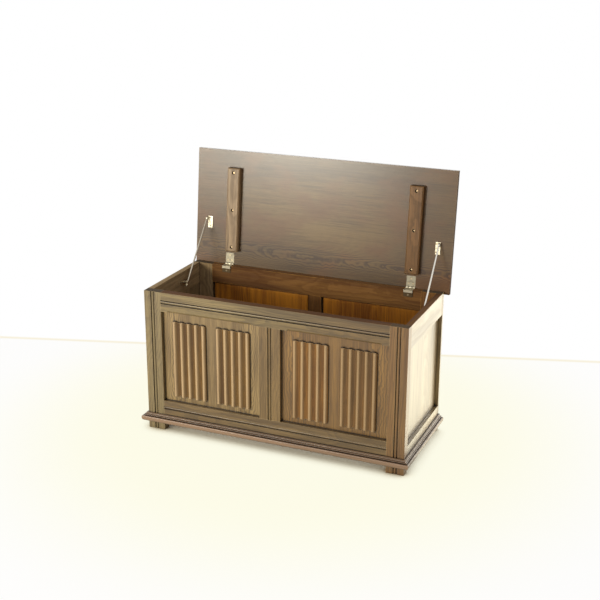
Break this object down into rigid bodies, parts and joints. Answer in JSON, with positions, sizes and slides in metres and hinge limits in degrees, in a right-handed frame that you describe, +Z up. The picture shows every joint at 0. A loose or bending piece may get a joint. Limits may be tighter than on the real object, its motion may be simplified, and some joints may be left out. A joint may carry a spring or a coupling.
{
  "type": "coffer chest",
  "caption": "Framed and panelled oak coffer with linenfold tablets, a moulded plinth and a hinged lid on sliding stays, for blankets and linen.",
  "frame": {"origin": "on the floor, under the middle of the open chest's outer box", "axes": "+Z up, +X to the right along the front, +Y to the back, towards the hinges"},
  "size_m": [1.041, 0.503, 0.9758],
  "materials": {
    "frame_oak": "dark stained oak, waxed, worn a little paler on the arrises",
    "panel_oak": "dark stained quartered oak, thin satin varnish",
    "linenfold_oak": "carved oak, stained, rubbed back to a warm brown on the folds",
    "plinth_oak": "moulded oak, dark red-brown stain, satin varnish",
    "lid_oak": "dark stained oak veneer, satin",
    "batten_oak": "oak, red-brown stain",
    "bottom_oak": "thin board, orange-brown stain",
    "hinge_brass": "dull plated leaf",
    "bracket_brass": "dull plated pressing",
    "small_screw_brass": "slotted countersunk screws",
    "batten_screw_steel": "dark slotted round-head screws",
    "stay_steel": "bright drawn rod"
  },
  "bodies": {
    "carcass": {"back_bearer": "bottom_oak", "back_bottom_rail": "frame_oak", "back_left_panel": "panel_oak", "back_muntin": "frame_oak", "back_right_panel": "panel_oak", "back_top_rail": "frame_oak", "bottom_board": "bottom_oak", "front_bearer": "bottom_oak", "front_bottom_rail": "frame_oak", "front_left_panel": "panel_oak", "front_left_post": "frame_oak", "front_muntin": "frame_oak", "front_right_panel": "panel_oak", "front_right_post": "frame_oak", "front_top_rail": "frame_oak", "left_bottom_rail": "frame_oak", "left_hinge_pin": "hinge_brass", "left_hinge_rail_leaf": "hinge_brass", "left_panel": "panel_oak", "left_stay_plate": "bracket_brass", "left_top_rail": "frame_oak", "linenfold_left_inner": "linenfold_oak", "linenfold_left_outer": "linenfold_oak", "linenfold_right_inner": "linenfold_oak", "linenfold_right_outer": "linenfold_oak", "plinth_front": "plinth_oak", "plinth_left": "plinth_oak", "plinth_right": "plinth_oak", "rail_leaf_screws": "small_screw_brass", "rear_left_post": "frame_oak", "rear_right_post": "frame_oak", "right_bottom_rail": "frame_oak", "right_hinge_pin": "hinge_brass", "right_hinge_rail_leaf": "hinge_brass", "right_panel": "panel_oak", "right_stay_plate": "bracket_brass", "right_top_rail": "frame_oak", "stay_plate_screws": "small_screw_brass"},
    "lid": {"lid_board": "lid_oak", "left_batten": "batten_oak", "right_batten": "batten_oak", "batten_screws": "batten_screw_steel", "left_hinge_lid_leaf": "hinge_brass", "right_hinge_lid_leaf": "hinge_brass", "lid_leaf_screws": "small_screw_brass", "left_lid_bracket": "bracket_brass", "right_lid_bracket": "bracket_brass", "lid_bracket_screws": "small_screw_brass", "left_eye_pin": "bracket_brass", "right_eye_pin": "bracket_brass"},
    "left_guide": {"left_stay_guide": "stay_steel"},
    "left_rod": {"left_stay_rod": "stay_steel", "left_stay_collar": "stay_steel"},
    "right_guide": {"right_stay_guide": "stay_steel"},
    "right_rod": {"right_stay_rod": "stay_steel", "right_stay_collar": "stay_steel"}
  },
  "joints": [
    {"name": "lid_hinge", "type": "hinge", "parent": "carcass", "child": "lid", "pos_m": [0, 0.18596, 0.5402], "axis": [1, 0, 0], "range_deg": [0, 96]},
    {"name": "left_guide_swivel", "type": "hinge", "parent": "carcass", "child": "left_guide", "pos_m": [-0.459, 0.02074, 0.5002], "axis": [1, 0, 0], "range_deg": [0, 48]},
    {"name": "left_rod_pivot", "type": "hinge", "parent": "lid", "child": "left_rod", "pos_m": [-0.459, 0.19296, 0.71006], "axis": [1, 0, 0], "range_deg": [-48, 0]},
    {"name": "right_guide_swivel", "type": "hinge", "parent": "carcass", "child": "right_guide", "pos_m": [0.47, 0.02074, 0.5002], "axis": [1, 0, 0], "range_deg": [0, 48]},
    {"name": "right_rod_pivot", "type": "hinge", "parent": "lid", "child": "right_rod", "pos_m": [0.47, 0.19296, 0.71006], "axis": [1, 0, 0], "range_deg": [-48, 0]}
  ],
  "couplings": [
    {"joint": "left_guide_swivel", "follows": "lid_hinge", "ratio": 0.5},
    {"joint": "left_rod_pivot", "follows": "lid_hinge", "ratio": -0.5},
    {"joint": "right_guide_swivel", "follows": "lid_hinge", "ratio": 0.5},
    {"joint": "right_rod_pivot", "follows": "lid_hinge", "ratio": -0.5}
  ]
}
